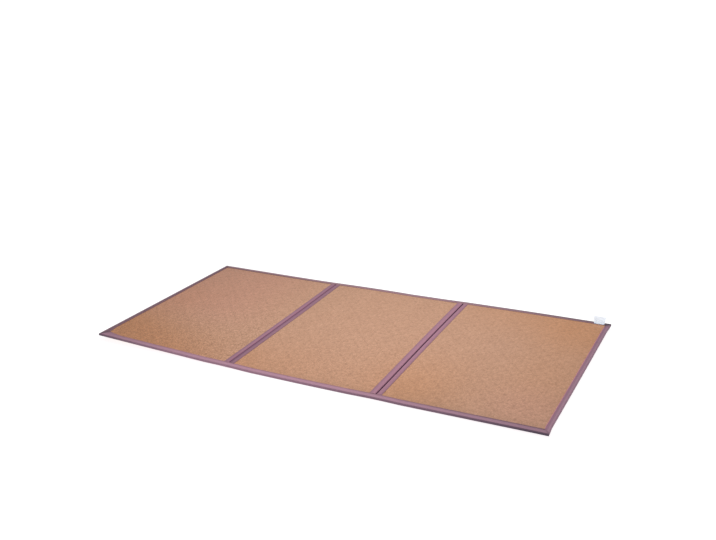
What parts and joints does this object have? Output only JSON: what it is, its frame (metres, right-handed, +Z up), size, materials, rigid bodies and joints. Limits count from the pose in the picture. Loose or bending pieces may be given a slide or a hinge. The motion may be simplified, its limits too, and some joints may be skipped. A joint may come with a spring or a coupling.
{
  "type": "folding tatami mat",
  "caption": "Long thin woven floor mat laid open: equal panels joined at cloth hinges, edged all round and along every fold with a sewn cloth binding, and a plain label at one corner.",
  "frame": {"origin": "centre of the mat's underside, on the flat part of the middle panel", "axes": "+X along the mat's length towards the end with the label, +Y across the mat towards the edge that the label is sewn to, +Z up"},
  "size_m": [1.8, 0.88, 0.0439],
  "materials": {
    "weave": "fine twill of flat tan cord, dry and slightly glossy along the cords",
    "binding": "matt plain-woven tape, dusty lilac, pressed flat and stitched",
    "hinge_cloth": "matt plain-woven cloth, dark plum",
    "label_cloth": "smooth white satin ribbon, bare"
  },
  "bodies": {
    "root": {"panel_left": "weave", "panel_middle": "weave", "panel_right": "weave", "binding_front": "binding", "binding_back": "binding", "binding_left_end": "binding", "binding_right_end": "binding", "fold_1_binding_left": "binding", "fold_1_binding_right": "binding", "fold_2_binding_left": "binding", "fold_2_binding_right": "binding", "hinge_cloth_1": "hinge_cloth", "hinge_cloth_2": "hinge_cloth", "label": "label_cloth"}
  },
  "joints": []
}
